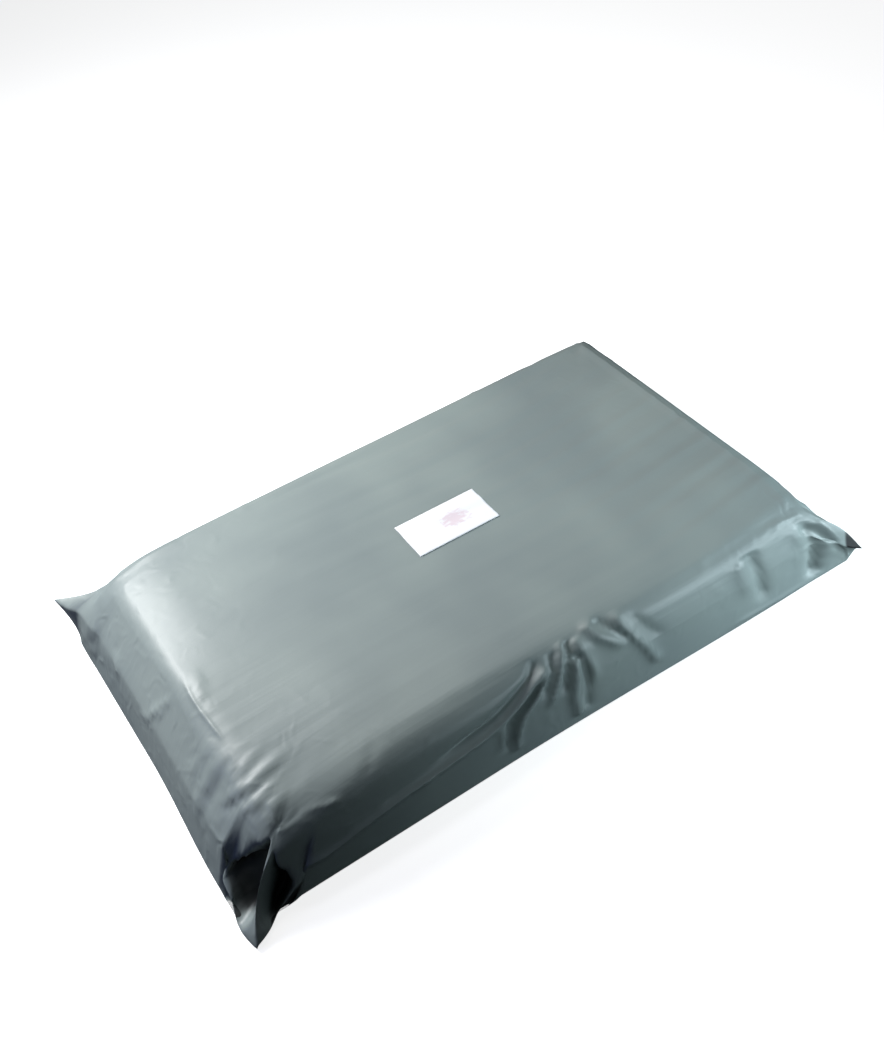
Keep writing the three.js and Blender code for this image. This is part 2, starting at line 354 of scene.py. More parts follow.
@dataclass(frozen=True)
class Crease:
    """A fold in the film of one wall: a ridge, or a valley where its height is below nought.

    Its path, height and width are in millimetres: the path along the wall and down the film from
    the wall's top edge. The fades are shares of its length.
    """

    wall: Wall
    path: Path
    height: float
    width: float
    roundness: float = 1.5
    fade_in: float = 0.2
    fade_out: float = 0.35

    def curve(self, steps: int = 10) -> Array:
        """Gives points along the crease, on a smooth curve through its path.

        Args:
            steps: Points for each stretch between two points of the path.

        Returns:
            Places along and down the wall, in metres.
        """
        points = np.array(self.path) * MM
        padded = np.vstack([2 * points[0] - points[1], points, 2 * points[-1] - points[-2]])
        shares = np.linspace(0, 1, steps, endpoint=False)[:, None]
        rows = []
        # Catmull-Rom: each stretch is a cubic whose ends point along their neighbours
        for before, start, end, after in zip(padded, padded[1:], padded[2:], padded[3:]):
            cubic = 3 * (start - end) + after - before
            square = 2 * before - 5 * start + 4 * end - after
            rows.append(start + 0.5 * shares * (end - before + shares * (square + shares * cubic)))
        return np.vstack(rows + [points[-1:]])

    def relief(self, sheet: Sheet) -> Array:
        """Gives how far the crease lifts each point of the film.

        Args:
            sheet: The points of the film.

        Returns:
            Lift of each point, in metres.
        """
        along, depth, belongs = sheet.on_wall(self.wall)
        curve, height, width = self.curve(), self.height * MM, self.width * MM
        low, high = curve.min(0) - WIDTHS_FELT * width, curve.max(0) + WIDTHS_FELT * width
        near = (along > low[0]) & (along < high[0]) & (depth > low[1]) & (depth < high[1])
        near &= belongs > 0
        places = np.stack([along[near], depth[near]], -1)
        lengths = np.linalg.norm(np.diff(curve, axis=0), axis=1)
        reached = np.concatenate([[0], np.cumsum(lengths)]) / lengths.sum()
        best = np.full(len(places), np.inf)
        share = np.zeros(len(places))
        for start, end, begin, finish in zip(curve, curve[1:], reached, reached[1:]):
            step = end - start
            part = np.clip((places - start) @ step / (step @ step), 0, 1)
            away = np.linalg.norm(places - start - part[:, None] * step, axis=1)
            closer = away < best
            best[closer] = away[closer]
            share[closer] = (begin + part * (finish - begin))[closer]
        taper = smooth(share, 0, self.fade_in) * (1 - smooth(share, 1 - self.fade_out, 1))
        lift = np.zeros_like(along)
        lift[near] = height * taper * np.exp(-((best / width) ** self.roundness)) * belongs[near]
        return lift


# Traced folds of each wall: path, height and width in millimetres, roundness, fade in, fade out
FRONT_FOLDS = (
    # The weld line, drawn up into the hub of the fan, and the valley above it
    (((-12, 6), (-25, 15), (-38, 24), (-53, 30.5), (-68, 33.6), (-90, 36),
     (-128, 40), (-162, 47), (-184, 48)), 3.6, 2.6, 1.3, 0.03, 0.1),
    (((-17, -4), (-22, 4), (-27, 9), (-40, 16), (-53, 22), (-70, 25),
     (-105, 28)), -3.0, 3.2, 1.3, 0.06, 0.4),

    # The fan of folds, from the left to the right
    (((-12, 9), (-19, 20), (-26, 28), (-32, 33), (-36, 38), (-39, 45),
     (-41, 53), (-40, 64)), 3.8, 2.4, 1.3, 0.08, 0.1),
    (((-52, 33), (-50, 41), (-50, 47), (-51, 56)), 2.4, 2.0, 1.3, 0.1, 0.3),
    (((-18, 15), (-33, 27), (-40, 31), (-44, 37), (-46, 45), (-45, 60)),
     -3.6, 2.4, 1.3, 0.12, 0.12),
    (((3, -6), (-1, 8), (-7, 22), (-14, 36), (-18, 46)), 3.0, 2.4, 1.3, 0.12, 0.2),
    (((-6, -2), (-10, 10), (-17, 24), (-21, 34)), -2.6, 2.2, 1.3, 0.12, 0.25),
    (((8, 12), (6.8, 21), (4.4, 30), (1, 43), (1.5, 53), (2, 66)), 3.4, 3.2, 1.5, 0.12, 0.1),
    (((6, -4), (5, 4), (1, 14), (-3.5, 31), (-6, 42)), -3.0, 2.2, 1.3, 0.1, 0.2),
    (((8.5, 8), (11, 24), (11, 41), (9.5, 52), (8, 66)), -3.0, 2.8, 1.3, 0.12, 0.1),
    (((11, -3), (14, 13), (16, 32), (15, 50)), 3.0, 3.2, 1.4, 0.1, 0.4),
    (((21, -9), (27, 6), (34, 16), (43, 30)), 3.2, 3.8, 1.4, 0.15, 0.3),
    (((29, -8), (35, 2), (41, 14), (47, 28)), -2.6, 3.0, 1.3, 0.15, 0.3),
    (((43, -6), (45, 10), (51, 29), (58, 51), (60, 62)), 3.2, 2.8, 1.3, 0.12, 0.15),
    (((52, 0), (60, 24), (70, 44)), -1.8, 4.2),

    # Dents of the front wall by the right ear, a low ridge by the floor, one by the left ear
    (((137, 10), (134, 30), (131, 52)), 2.0, 5.0),
    (((149, 8), (145, 34), (141, 64)), -4.0, 3.8, 1.4, 0.12, 0.2),
    (((198, 10), (194, 26), (187, 46), (179, 68)), -5.0, 4.4, 2.0, 0.12, 0.12),
    (((110, 66), (161, 69), (200, 72)), 1.2, 2.4),
    (((-194, 31), (-197, 51), (-204, 67)), -2.2, 2.2, 1.2),
)
LEFT_FOLDS = (
    # Ridges that cross the crest of the left end
    (((-74, 28), (-83, 6), (-86, -4), (-83, -20), (-80, -34)), 1.7, 2.0, 1.3, 0.3, 0.2),
    (((-80, 26), (-88, 10), (-91, -2), (-89, -20)), -1.3, 1.9, 1.2),
    (((-89, 24), (-92, 10), (-96, -3), (-94, -18), (-90, -26)), 1.3, 1.6, 1.3, 0.3, 0.3),
    (((-99, 24), (-103, 10), (-107, 0), (-103, -14), (-99, -24)), 1.6, 1.8, 1.3, 0.3, 0.25),
    (((-77, 14), (-76, 0), (-72, -14), (-68, -24)), 1.0, 1.5, 1.3, 0.3, 0.3),
    (((-112, 16), (-114, 4), (-110, -8), (-106, -18)), 1.2, 1.6, 1.3, 0.3, 0.3),
    (((-62, 54), (-58, 34), (-61, 14), (-59, -2), (-52, -8)), 1.3, 2.4, 1.3),
    (((-66, 46), (-68, 20), (-68, 2)), -1.4, 2.4, 1.3),
    (((-42, 34), (-46, 12), (-46, -2)), 1.0, 2.2, 1.3),
    (((-54, -4), (-41, -3), (-28, -2), (-14, -2), (6, -4)), 1.2, 1.8, 1.2),
    (((-22, -5), (-8, -10), (8, -13)), 1.0, 2.0, 1.3),
    (((15, 34), (6, 20), (-2, 7)), 1.5, 2.0, 1.2),
    (((23, 45), (12, 33), (0, 18)), 1.2, 2.0, 1.2),
)
FOLDS = {Wall.FRONT: FRONT_FOLDS, Wall.LEFT: LEFT_FOLDS}


@dataclass(frozen=True)
class Puckers:
    """Small gathers that run out of an ear over the top and down the walls."""

    corner: tuple[int, int]
    height: float = 1.5 * MM
    reach: float = 30 * MM
    count: int = 16
    breadth: Pair = (0.07, 0.16)  # radians round the corner
    length: Pair = (0.5, 1.3)  # shares of the reach
    lift: Pair = (-0.5, 1.0)  # shares of the height
    clear: Pair = (3 * MM, 14 * MM)
    tautness: float = 0.8

    def relief(self, sheet: Sheet) -> Array:
        """Gives how far the gathers lift each point of the film.

        Args:
            sheet: The points of the film.

        Returns:
            Lift of each point, in metres.
        """
        here = (sheet.s * self.corner[0] > 0) & (sheet.t * self.corner[1] > 0)
        away = np.hypot(sheet.past_end, sheet.past_side)
        turn = np.arctan2(sheet.past_side, sheet.past_end)
        chance = np.random.default_rng(SEED + 3 * self.corner[0] + self.corner[1])
        lowest, highest = zip((-math.pi, math.pi), self.breadth, self.length)
        lift = np.zeros_like(away)
        for _ in range(self.count):
            angle, breadth, length = chance.uniform(lowest, highest)
            turned = np.angle(np.exp(1j * (turn - angle)))
            fade = smooth(away, *self.clear) * np.exp(-away / (self.reach * length))
            lift += chance.uniform(*self.lift) * fade * np.exp(-((turned / breadth) ** 2))
        on_ear = smooth(sheet.nearer, 0, sheet.drop)
        return np.where(here, self.height * lift * (1 - self.tautness * on_ear), 0.0)


@dataclass(frozen=True)
class Ripples:
    """Long low ripples along the top face, left from the roll that the film came off."""

    height: float = 0.34 * MM
    spacing: float = 19 * MM
    wander: float = 7 * MM
    wander_start: float = 0.6  # radians
    strength: Pair = (0.6, 0.4)  # mean, and swing from place to place
    turns: Pair = (5.0, 3.0)  # radians of that swing along and across the face
    finer: tuple[float, ...] = (0.5, 1.7, 1.0)  # second wave: share, pace, start
    left_share: float = 0.35
    left_ends: Pair = (-170 * MM, -60 * MM)

    def relief(self, sheet: Sheet) -> Array:
        """Gives how far the ripples lift each point of the film.

        Args:
            sheet: The points of the film.

        Returns:
            Lift of each point, in metres.
        """
        goods = sheet.goods
        wander = self.wander * np.sin(2 * math.pi * sheet.s / goods.top_length + self.wander_start)
        phase = 2 * math.pi * (sheet.t + wander) / self.spacing
        lengthwise, crosswise = self.turns
        turn = lengthwise * sheet.s / goods.top_length + crosswise * sheet.t / goods.top_width
        strength = self.strength[0] + self.strength[1] * np.sin(turn)
        strength *= mix(self.left_share, 1.0, smooth(sheet.s, *self.left_ends))
        past_top = smooth(sheet.further, -goods.shoulder, goods.shoulder)
        on_top = np.where(sheet.side > 0, 1 - past_top, 0.0)
        share, pace, start = self.finer
        wave = np.sin(phase) + share * np.sin(pace * phase + start)
        return self.height * strength * wave * on_top


@dataclass(frozen=True)
class Finish:
    """What every finish has: a name, and a surface that its own nodes give."""

    name: str

    def surface(self, tree: Tree) -> Socket:
        """Adds the finish's nodes and gives the shader socket that they end in."""
        raise NotImplementedError

    def material(self) -> bpy.types.Material:
        """Makes a material of the finish.

        Returns:
            The material, with the finish's surface as its only output.
        """
        material, tree, output = blank_material(self.name)
        tree.links.new(self.surface(tree), output.inputs["Surface"])
        return material


@dataclass(frozen=True)
class BlownFilm(Finish):
    """Low density polythene, blown as a grey tube and slit."""

    # Blowing gives the eye a soft, broad gloss, and thickness lines that streak it along the bag.
    # Where the film hangs slack it creases finely, so its gloss breaks up into small lights.
    colour: str = "#869190"
    pale: str = "#8c9795"
    dark: str = "#808b8b"
    mottle_stops: tuple[float, ...] = (0.35, 0.5, 0.65)
    # Near-black that the film is drawn in as painted shade in the cupped hollow of the front-left
    # ear and on its fin, and at the tip of the front-right ear
    inner: str = "#17181a"
    roughness: float = 0.45
    ior: float = 1.51

    # Real thickness lines stand under a millimetre apart and a few micrometres high. They are too
    # fine to show, so they are drawn coarser and deeper. Creases and mottle have their real size.
    line_spacing: float = 6 * MM
    line_length: float = 110 * MM
    line_depth: float = 0.2 * MM
    crinkle_size: float = 14 * MM
    crinkle_depth: float = 0.7 * MM
    mottle_size: float = 90 * MM

    def surface(self, tree: Tree) -> Socket:
        """Adds the film's nodes, whose streaks follow the flat sheet, in metres.

        Args:
            tree: Node tree that gets the nodes.

        Returns:
            The socket of the film's shader.
        """
        sheet = add(tree, "UVMap", uv_map="flat_sheet").outputs["UV"]
        solid = add(tree, "TexCoord").outputs["Object"]
        stretch = (1 / self.line_length, 1 / self.line_spacing, 1.0)
        along = add(tree, "Mapping", {"Vector": sheet, "Scale": stretch})
        lines = add(tree, "TexNoise", {
            "Vector": along.outputs[0], "Scale": 1.0, "Detail": 3.0})
        crinkle = add(tree, "TexNoise", {
            "Vector": solid, "Scale": 1 / self.crinkle_size, "Detail": 2.5, "Distortion": 0.8,
            "Lacunarity": 2.2}, noise_type="RIDGED_MULTIFRACTAL")
        mottle = add(tree, "TexNoise", {
            "Vector": solid, "Scale": 1 / self.mottle_size, "Detail": 2.0})
        stops = dict(zip(self.mottle_stops, (self.dark, self.colour, self.pale)))
        outer = ramp(tree, mottle.outputs["Fac"], stops)
        # Painted shade: the film is drawn near-black in the cupped hollow of the front-left ear and
        # on its fin, and at the front-right ear's tip
        inner = add(tree, "Attribute", attribute_name="painted_shade_and_dark_tip").outputs["Fac"]
        colour = add(tree, "Mix", {
            0: inner, 6: outer, 7: linear(self.inner)}, data_type="RGBA")
        slack = add(tree, "Attribute", attribute_name="slack").outputs["Fac"]
        streaked = add(tree, "Bump", {
            "Height": lines.outputs["Fac"], "Distance": self.line_depth, "Strength": 1.0})
        creased = add(tree, "Bump", {
            "Height": crinkle.outputs["Fac"], "Distance": self.crinkle_depth, "Strength": slack,
            "Normal": streaked.outputs[0]})
        shader = add(tree, "BsdfPrincipled", {
            "Base Color": colour.outputs[2], "Roughness": self.roughness, "IOR": self.ior,
            "Normal": creased.outputs[0]})
        return shader.outputs[0]


@dataclass(frozen=True)
class LabelPaper(Finish):
    """Uncoated white label paper, calendered, with a pale blot of print."""

    # Calendering presses the fibres flat, so the eye gets a bright matt face with hardly any tooth
    colour: str = "#eceef2"
    roughness: float = 0.75

    # Real fibres are 0.02 to 0.04 mm thick. They are too fine to show, so they are drawn coarser.
    fibre: float = 0.8 * MM
    fibre_depth: float = 0.02 * MM

    # Print field, in shares of the label's length and width
    print_colour: str = "#dccfd6"
    print_middle: Pair = (0.60, 0.5)
    print_narrowing: Pair = (2.6, 2.0)
    print_ends: Pair = (0.75, 1.0)
    print_grain: float = 14.0

    def surface(self, tree: Tree) -> Socket:
        """Adds the paper's nodes, whose print field follows the label's own sheet.

        Args:
            tree: Node tree that gets the nodes.

        Returns:
            The socket of the paper's shader.
        """
        sheet = add(tree, "UVMap", uv_map="flat_sheet").outputs["UV"]
        middle = add(tree, "VectorMath", {
            0: sheet, 1: (*self.print_middle, 0.0)}, operation="SUBTRACT")
        spread = add(tree, "VectorMath", {
            0: middle.outputs[0], 1: (*self.print_narrowing, 0.0)}, operation="MULTIPLY")
        away = add(tree, "VectorMath", {0: spread.outputs[0]}, operation="LENGTH")
        blot = add(tree, "TexNoise", {
            "Vector": sheet, "Scale": self.print_grain, "Detail": 3.0})
        edge = add(tree, "Math", {
            0: away.outputs["Value"], 1: blot.outputs["Fac"]}, operation="ADD")
        stops = dict(zip(self.print_ends, (self.print_colour, self.colour)))
        colour = ramp(tree, edge.outputs[0], stops)
        solid = add(tree, "TexCoord").outputs["Object"]
        fibre = add(tree, "TexNoise", {
            "Vector": solid, "Scale": 1 / self.fibre, "Detail": 4.0})
        tooth = add(tree, "Bump", {
            "Height": fibre.outputs["Fac"], "Distance": self.fibre_depth})
        shader = add(tree, "BsdfPrincipled", {
            "Base Color": colour, "Roughness": self.roughness, "Normal": tooth.outputs[0]})
        return shader.outputs[0]


def make_object(name: str, points: Array, faces: Array, sheet: Array) -> Object:
    """Makes a smooth mesh object with its flat sheet as a UV map.

    Args:
        name: Name of the object.
        points: Places of the vertices, in metres.
        faces: Vertex numbers of the four-sided faces.
        sheet: Place of each vertex in the flat sheet.

    Returns:
        The new object, linked to the scene.
    """
    mesh = bpy.data.meshes.new(name)
    mesh.from_pydata(points.tolist(), [], faces.tolist())
    uv = mesh.uv_layers.new(name="flat_sheet")
    uv.data.foreach_set("uv", sheet[faces.reshape(-1)].astype(np.float32).reshape(-1))
    mesh.polygons.foreach_set("use_smooth", np.ones(len(faces), bool))
    mesh.update()
    thing = bpy.data.objects.new(name, mesh)
    bpy.context.scene.collection.objects.link(thing)
    return thing


def grid_faces(grid: Array) -> Array:
    """Gives the four-sided faces between neighbouring vertices of a grid of vertex numbers."""
    return np.stack([grid[:-1, :-1], grid[1:, :-1], grid[1:, 1:], grid[:-1, 1:]], -1).reshape(-1, 4)


def vertex_normals(points: Array, faces: Array) -> Array:
    """Gives the outward direction at each vertex of a mesh of four-sided faces.

    Args:
        points: Places of the vertices.
        faces: Vertex numbers of the faces.

    Returns:
        A unit vector for each vertex.
    """
    corners = points[faces]
    cross = np.cross(corners[:, 2] - corners[:, 0], corners[:, 3] - corners[:, 1])
    total = np.zeros_like(points)
    for corner in faces.T:
        for axis in range(3):
            total[:, axis] += np.bincount(corner, cross[:, axis], len(points))
    return total / np.maximum(np.linalg.norm(total, axis=1, keepdims=True), 1e-12)


def relax(points: Array, faces: Array, weight: Array, rounds: int) -> Array:
    """Draws points towards the middle of their neighbours, as film under light tension settles.

    Args:
        points: Places of the vertices.
        faces: Vertex numbers of the faces.
        weight: How far each vertex goes in one round, from 0 to 1.
        rounds: Number of rounds.

    Returns:
        The settled places.
    """
    starts = faces.reshape(-1)
    ends = np.roll(faces, -1, axis=1).reshape(-1)
    both, other = np.concatenate([starts, ends]), np.concatenate([ends, starts])
    count = np.bincount(both, minlength=len(points))[:, None]
    for _ in range(rounds):
        pulls = [np.bincount(both, points[other, axis], len(points)) for axis in range(3)]
        total = np.stack(pulls, -1)
        points = points + weight[:, None] * (total / count - points)
    return points


@dataclass(frozen=True)
class Slack:
    """How slack the film hangs, from 0, tight, to 1: most by the ears and where the folds meet."""

    everywhere: float = 0.05
    walls: float = 0.08
    left: float = 0.55
    right: float = 0.2
    ears: float = 0.9
    hub: float = 0.6
    top_edge: Pair = (-12 * MM, 8 * MM)
    end_edge: Pair = (-20 * MM, 10 * MM)
    ear_reach: float = 60 * MM
    hub_place: float = -5 * MM
    hub_reach: float = 60 * MM

    def at(self, sheet: Sheet) -> Array:
        """Gives the slackness of each point of the film.

        Args:
            sheet: The points of the film.

        Returns:
            Values from 0 to 1.
        """
        off_top = smooth(sheet.further, *self.top_edge)
        corner = np.exp(-np.hypot(sheet.past_end, sheet.past_side) / self.ear_reach)
        end = np.where(sheet.s < 0, self.left, self.right)
        end = end * smooth(sheet.past_end - sheet.past_side, *self.end_edge)
        from_hub = (sheet.s - self.hub_place) / self.hub_reach
        hub = self.hub * np.exp(-(from_hub**2)) * (sheet.t < 0)
        found = self.everywhere + self.ears * corner + off_top * (end + hub + self.walls)
        return np.clip(found, 0, 1)


@dataclass(frozen=True)
class Crinkles:
    """Short low creases scattered over the walls, most near the ears. Sizes are in millimetres."""

    count: int = 26
    places: Pair = (0.1, 1.0)  # shares of half the wall, before a root crowds them outwards
    depths: Pair = (-6, 66)
    lengths: Pair = (12, 34)
    heights: Pair = (0.3, 0.9)
    signs: tuple[int, ...] = (-1, 1, 1)
    widths: Pair = (1.5, 2.6)
    turn: float = 0.5  # radians
    bend: float = 1.5
    roundness: float = 1.2
    fade: float = 0.4

    def scatter(self, goods: Goods) -> list[Crease]:
        """Draws the creases of all four walls.

        Args:
            goods: The goods that the walls belong to.

        Returns:
            The creases.
        """
        chance = np.random.default_rng(SEED)
        found = []
        for wall in Wall:
            half = (goods.top_length if wall.value[0] == "t" else goods.top_width) / 2 / MM
            for _ in range(self.count):
                place = half * chance.choice((-1, 1)) * chance.uniform(*self.places) ** 0.5
                depth = chance.uniform(*self.depths)
                turn = chance.normal(0, self.turn) - self.turn * place / half
                length = chance.uniform(*self.lengths)
                height = chance.uniform(*self.heights) * chance.choice(self.signs)
                step = np.array([math.sin(turn), math.cos(turn)]) * length / 2
                middle = (place + chance.normal(0, self.bend), depth)
                start, end = np.array([place, depth]) - step, np.array([place, depth]) + step
                width = chance.uniform(*self.widths)
                path = (tuple(start), middle, tuple(end))
                fades = (self.fade, self.fade)
                found.append(Crease(wall, path, height, width, self.roundness, *fades))
        return found


@dataclass
class FilmBag:
    """The film wrapped over the goods, with its ears, folds, gathers, weld and closing flap."""

    centre: Vector
    goods: Goods = Goods()
    hollow: Hollow = Hollow()
    drop: float = 37 * MM
    weld: float = 35 * MM
    weld_ridge: float = 1.2 * MM
    weld_width: float = 1.6 * MM
    flap_length: float = 30 * MM
    flap_step: float = 0.9 * MM
    flap_edge: float = 1 * MM
    flap_lip: float = 2 * MM
    layer_gap: float = 0.5 * MM
    clear_height: float = 8 * MM

    # Ears: film before the corner that already turns out, and how late the walls turn out
    root: float = 27 * MM
    flare: float = 1.7
    droop_power: int = 10

    # Grid of the film
    drop_steps: int = 42
    length_steps: int = 132
    width_steps: int = 76
    crowding: float = 0.25

    # Settling of the ears, where the film is under light tension
    settling: int = 4
    settle_share: float = 0.7
    settle_out: Pair = (0.15, 0.4)
    settle_down: Pair = (0.05, 0.2)
    tip_out: Pair = (0.96, 1.0)
    tip_hold: float = 0.8

    # In order: reach, bearing, height of the tip, droop, fullness of end layer and of side layer
    ears: dict[tuple[int, int], Ear] = field(default_factory=lambda: {
        (-1, -1): Ear(
            26 * MM, 232, 3 * MM, 7 * MM, 20 * MM, 10 * MM, lateness=1.7, swing=60, fall=0.55,
            spread=9, lie=0.3, hollow=16 * MM, hollow_to=0.74, cup=12 * MM),
        (1, -1): Ear(
            27 * MM, 322, 18 * MM, 6 * MM, 6 * MM, 6 * MM, hollow=6 * MM, hollow_from=0.4,
            hollow_side=0.4, hollow_arc=0, hollow_to=0.58, inner=1.0),
        (1, 1): Ear(13 * MM, 30, 16 * MM, 4 * MM, 4 * MM, 4 * MM),
        (-1, 1): Ear(30 * MM, 130, 37 * MM, 8 * MM, 6 * MM, 3 * MM, lateness=1.7),
    })
    folds: tuple[Crease, ...] = tuple(
        Crease(wall, *fold) for wall, folds in FOLDS.items() for fold in folds)

    def lines(self, half_face: float, face_steps: int, crowding: float) -> Array:
        """Gives the grid lines across one direction of the flat sheet.

        Args:
            half_face: Half the top face in that direction.
            face_steps: Steps across the face.
            crowding: How far the steps are drawn together at the middle.

        Returns:
            Places of the lines, from edge to edge.
        """
        inner = half_face - self.goods.shoulder
        share = np.linspace(-1, 1, face_steps + 1)
        face = inner * (share - crowding * np.sin(math.pi * share) / math.pi)
        steps = np.arange(1, self.drop_steps + 1)
        edge = inner + (self.drop + self.goods.shoulder) * steps / self.drop_steps
        return np.concatenate([-edge[::-1], face, edge])

    def wrap(self, sheet: Sheet) -> Array:
        """Wraps the flat sheet over the goods, and marks the film that is drawn near-black as
        painted shade, and at one ear's dark tip.

        Args:
            sheet: The points of the film.

        Returns:
            Place of each point, in metres, from the middle of the goods.
        """
        sheet.ear = self.ear_at(sheet)
        sheet.inside = self.in_hollow(sheet)
        sheet.inner = self.painted_shade_and_dark_tip_share(sheet)
        x, y = self.walls(sheet)
        out_x, out_y = self.ear_reach(sheet)
        z = self.heights(sheet)
        return np.stack([np.sign(sheet.s) * (x + out_x), np.sign(sheet.t) * (y + out_y), z], -1)

    def ear_at(self, sheet: Sheet) -> Ear:
        """Gathers the values of the ear that each point of the film belongs to.

        Args:
            sheet: The points of the film.

        Returns:
            An ear whose values are arrays, with one number for each point.
        """
        values = {each.name: np.zeros_like(sheet.s) for each in fields(Ear)}
        for (end, side), ear in self.ears.items():
            here = (np.where(sheet.s > 0, 1, -1) == end) & (np.where(sheet.t > 0, 1, -1) == side)
            for name, value in values.items():
                value[here] = getattr(ear, name)
        return Ear(**values)

    def in_hollow(self, sheet: Sheet) -> Array:
        """Gives how far each point lies inside its ear's hollow, seen along the way out.

        Args:
            sheet: The points of the film.

        Returns:
            Shares from 0 to 1.
        """
        ear = sheet.ear
        edge = np.where(sheet.on_side, ear.hollow_side, ear.hollow_from)
        edge = edge + ear.hollow_arc * np.clip(1 - sheet.down, 0, 1) ** self.hollow.arc_power
        begun = smooth(sheet.out - edge, *self.hollow.lead_in)
        return begun * (1 - smooth(sheet.out - ear.hollow_to, *self.hollow.lead_out))

    @staticmethod
    def walls(sheet: Sheet) -> tuple[Array, Array]:
        """Gives how far along and across the film lies on face and walls, before the ears.

        Args:
            sheet: The points of the film.

        Returns:
            Distances from the middle of the goods, both positive.
        """
        goods, along, across, level = sheet.goods, sheet.along, sheet.across, sheet.level
        over = smooth(sheet.past_side, -goods.shoulder, goods.shoulder)
        past = smooth(sheet.past_end, -goods.shoulder, goods.shoulder)
        from_waist = (sheet.s - goods.waist_place) / goods.waist_length
        pulled = goods.waist * np.exp(-(from_waist**2)) * (1 - level)
        fuller_low = goods.low_bulge * smooth(sheet.s, *goods.low_bulge_ends) * level
        flare = goods.left_flare * smooth(-sheet.t, *goods.left_flare_ends) * (sheet.s < 0)
        x = along * (goods.top_length / 2 + goods.end_slope * level)
        y = across * (goods.top_width / 2 + goods.side_slope * level
                      - sheet.front * (pulled - fuller_low))
        x += flare * level * past
        half_way = 1 - np.sqrt((2 * level - 1) ** 2 + goods.bulge_edge)
        fuller = goods.end_bulge * half_way * past
        x += fuller * (1 - np.clip(across, 0, 1) ** goods.end_bulge_power)
        fuller = goods.side_bulge * np.sin(math.pi * level) * over
        y += fuller * (1 - np.clip(along, 0, 1) ** goods.side_bulge_power)
        return x, y

    def ear_reach(self, sheet: Sheet) -> tuple[Array, Array]:
        """Gives how far the ears carry the film out beyond the walls.

        Args:
            sheet: The points of the film.

        Returns:
            Distances along and across the goods.
        """
        ear = sheet.ear
        bearing = np.radians(ear.bearing - ear.swing * (1 - sheet.down))
        cosine, sine = np.abs(np.cos(bearing)), np.abs(np.sin(bearing))
        reach = ear.reach * sheet.down**ear.lateness * sheet.out**self.flare
        low = mix(self.hollow.bottom, self.hollow.cupped_bottom, ear.cup > 0)
        dive = ear.hollow * sheet.inside * smooth(sheet.level, *self.hollow.top)
        reach -= dive * (1 - smooth(sheet.level, low, low + self.hollow.bottom_blend))
        fullness = np.where(sheet.on_side, ear.side_fullness, -ear.end_fullness)
        # 4u(1 - u) is 0 at both edges of a layer and 1 in its middle
        opening = fullness * sheet.down**ear.spread * 4 * sheet.out * (1 - sheet.out)
        return reach * cosine - opening * sine, reach * sine + opening * cosine

    def roof(self, sheet: Sheet) -> Array:
        """Gives the height of the top face, carried on past its edges.

        Args:
            sheet: The points of the film.

        Returns:
            Heights above the floor.
        """
        goods, along, across = sheet.goods, sheet.along, sheet.across
        roof = goods.height + goods.crown * (1 - along**2) * (1 - across**2)
        roof = roof - sheet.ear.droop * (along * across) ** self.droop_power
        rear_left = (sheet.s < 0) * smooth(sheet.t, *goods.left_roll_ends)
        for share, half, (drop, width), here in (
            (across, goods.top_width / 2, goods.front_roll, sheet.front),
            (along, goods.top_length / 2, goods.left_roll, rear_left),
        ):
            rolled = np.clip(1 - (1 - share) * half / width, 0, 1)
            roof -= here * drop * rolled**2
        near_end = 1 - smooth(-sheet.past_end, 0, goods.left_sag_reach)
        sagging = smooth(-sheet.t, *goods.left_sag_ends) * near_end
        return roof - goods.left_sag * sagging * (sheet.s < 0)

    def heights(self, sheet: Sheet) -> Array:
        """Gives the film's height: the top panel falls to the weld, the bottom one rises to it.

        Args:
            sheet: The points of the film.

        Returns:
            Heights above the floor.
        """
        goods, ear, hollow, out = sheet.goods, sheet.ear, self.hollow, np.clip(sheet.out, 0, 1)
        led = out * smooth(sheet.further, 0, self.drop)
        weld = mix(self.weld, ear.tip, led**ear.lie * sheet.down)
        fallen = sheet.down ** mix(1.0, ear.fall, out)
        flat = 1 + hollow.flatness * smooth(sheet.out, *hollow.flat_out) * (ear.cup > 0)
        under = weld * np.clip(sheet.down, 0, 1) ** flat
        sunk = ear.cup * sheet.inside * smooth(sheet.level, *hollow.sink)
        sunk = sunk * (1 - smooth(sheet.level, *hollow.sink_end))
        sunk = sunk * smooth(sheet.out, *hollow.sink_out)
        lowest = under + self.layer_gap * (1 - sheet.down)
        above = np.maximum(mix(self.roof(sheet), weld, fallen) - sunk, lowest)
        from_edges = (sheet.past_end + goods.shoulder, sheet.past_side + goods.shoulder)
        rim, back = (np.exp(-((away / goods.rim_width) ** 2)) for away in from_edges)
        pressed = np.maximum(np.where(sheet.s > 0, rim, 0.0), np.where(sheet.t > 0, back, 0.0))
        above += goods.rim_height * pressed * (1 - sheet.down)
        return np.where(sheet.side > 0, above, under)

    def painted_shade_and_dark_tip_share(self, sheet: Sheet) -> Array:
        """Gives how far the film is drawn near-black: painted shade in the cupped hollow and on the
        fin under it, and the dark tip of one ear.

        Args:
            sheet: The points of the film.

        Returns:
            Shares from 0 to 1.
        """
        hollow, cupped = self.hollow, sheet.ear.cup > 0
        # The tip of an ear whose inner value is set is drawn near-black
        turned = sheet.ear.inner * smooth(sheet.out * sheet.down, *hollow.turned)
        paler = hollow.pale_tip * smooth(sheet.out, *hollow.pale_tip_out)
        # Painted shade in the cupped hollow, and on the fin's lower layer below it
        pocket_shade = cupped * sheet.inside * smooth(sheet.level, *hollow.dark)
        pocket_shade = pocket_shade * (1 - smooth(sheet.level + paler, *hollow.dark_end))
        fin_shade = cupped * (sheet.side < 0) * smooth(sheet.out, *hollow.fin_shade_out)
        fin_shade = fin_shade * smooth(sheet.down, *hollow.fin_shade_down)
        return np.maximum(turned, hollow.painted_shade_share * np.maximum(pocket_shade, fin_shade))

